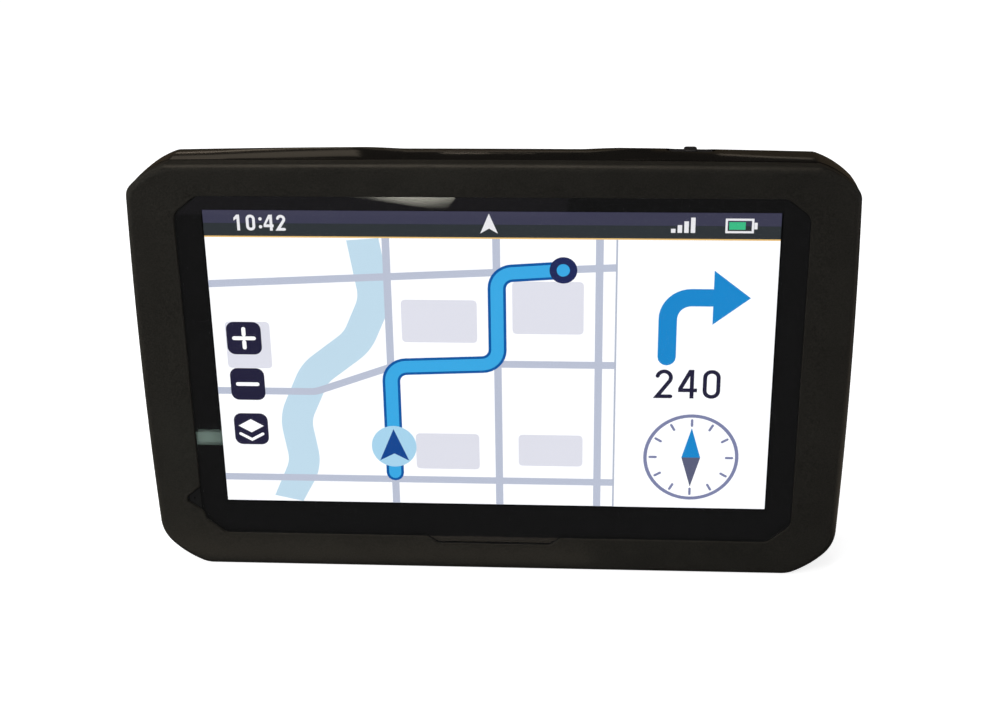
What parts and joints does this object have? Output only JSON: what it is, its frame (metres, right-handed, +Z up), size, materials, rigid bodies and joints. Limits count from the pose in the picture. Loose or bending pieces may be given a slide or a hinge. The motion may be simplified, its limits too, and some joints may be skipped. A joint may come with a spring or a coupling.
{
  "type": "portable gps navigator",
  "caption": "Portable navigator: a wide touch display in a black frame with cut corners, a pillow-backed housing with a cradle socket and speaker grille, and a sprung power key on top.",
  "frame": {"origin": "under the middle of the resting edge, half way through the depth, on the surface it stands on", "axes": "+X to the right as the display is seen, +Y from the display to the back, +Z up along the display's height"},
  "size_m": [0.141, 0.0206, 0.0871],
  "materials": {
    "bezel_plastic": "soft-touch fine grain",
    "cover_plastic": "semi-gloss",
    "glass": "clear with a black printed border",
    "sensor": "clear film",
    "display": "lit picture",
    "light_guide": "white diffuser",
    "foam": "closed-cell foam",
    "sheet_metal": "tinned sheet",
    "ribbon": "amber film",
    "frame_plastic": "moulded",
    "board": "solder mask",
    "connector": "cream nylon",
    "ceramic": "unglazed",
    "battery_foil": "pouch foil",
    "tape": "adhesive pad",
    "lead_red": "insulated lead",
    "lead_black": "insulated lead",
    "basket": "moulded",
    "magnet": "plated",
    "diaphragm": "film",
    "mesh": "woven dust mesh",
    "gold": "gold plated",
    "key_plastic": "satin",
    "switch_plastic": "moulded",
    "plunger_plastic": "moulded",
    "capsule": "pressed can",
    "screw_steel": "black zinc"
  },
  "bodies": {
    "housing": {"front_bezel": "bezel_plastic", "glass_gasket": "foam", "cover_glass": "glass", "touch_sensor": "sensor", "dust_gasket": "foam", "lcd_panel": "display", "backlight_unit": "light_guide", "lcd_tray": "sheet_metal", "lcd_flex": "ribbon", "touch_flex": "ribbon", "mid_frame": "frame_plastic", "main_board": "board", "board_screws": "screw_steel", "shield_cans": "sheet_metal", "ribbon_connectors": "connector", "gps_antenna": "ceramic", "usb_shell": "sheet_metal", "usb_tongue": "switch_plastic", "card_socket": "sheet_metal", "battery": "battery_foil", "battery_tape": "tape", "battery_plug": "connector", "battery_leads": "lead_red", "speaker_basket": "basket", "speaker_magnet": "magnet", "speaker_diaphragm": "diaphragm", "speaker_seal": "foam", "speaker_mesh": "mesh", "speaker_pad": "foam", "speaker_leads": "lead_black", "contact_board": "board", "dock_contacts": "gold", "dock_connector": "connector", "power_switch": "switch_plastic", "microphone_boot": "foam", "microphone": "capsule", "microphone_leads": "lead_black", "rear_cover": "cover_plastic", "housing_screws": "screw_steel"},
    "key": {"power_key": "key_plastic", "switch_plunger": "plunger_plastic"}
  },
  "joints": [
    {"name": "power_press", "type": "slide", "parent": "housing", "child": "key", "axis": [0, 0, -1], "range_m": [0, 0.0004], "stiffness_N_per_m": 2500, "springref_m": -0.0002}
  ]
}
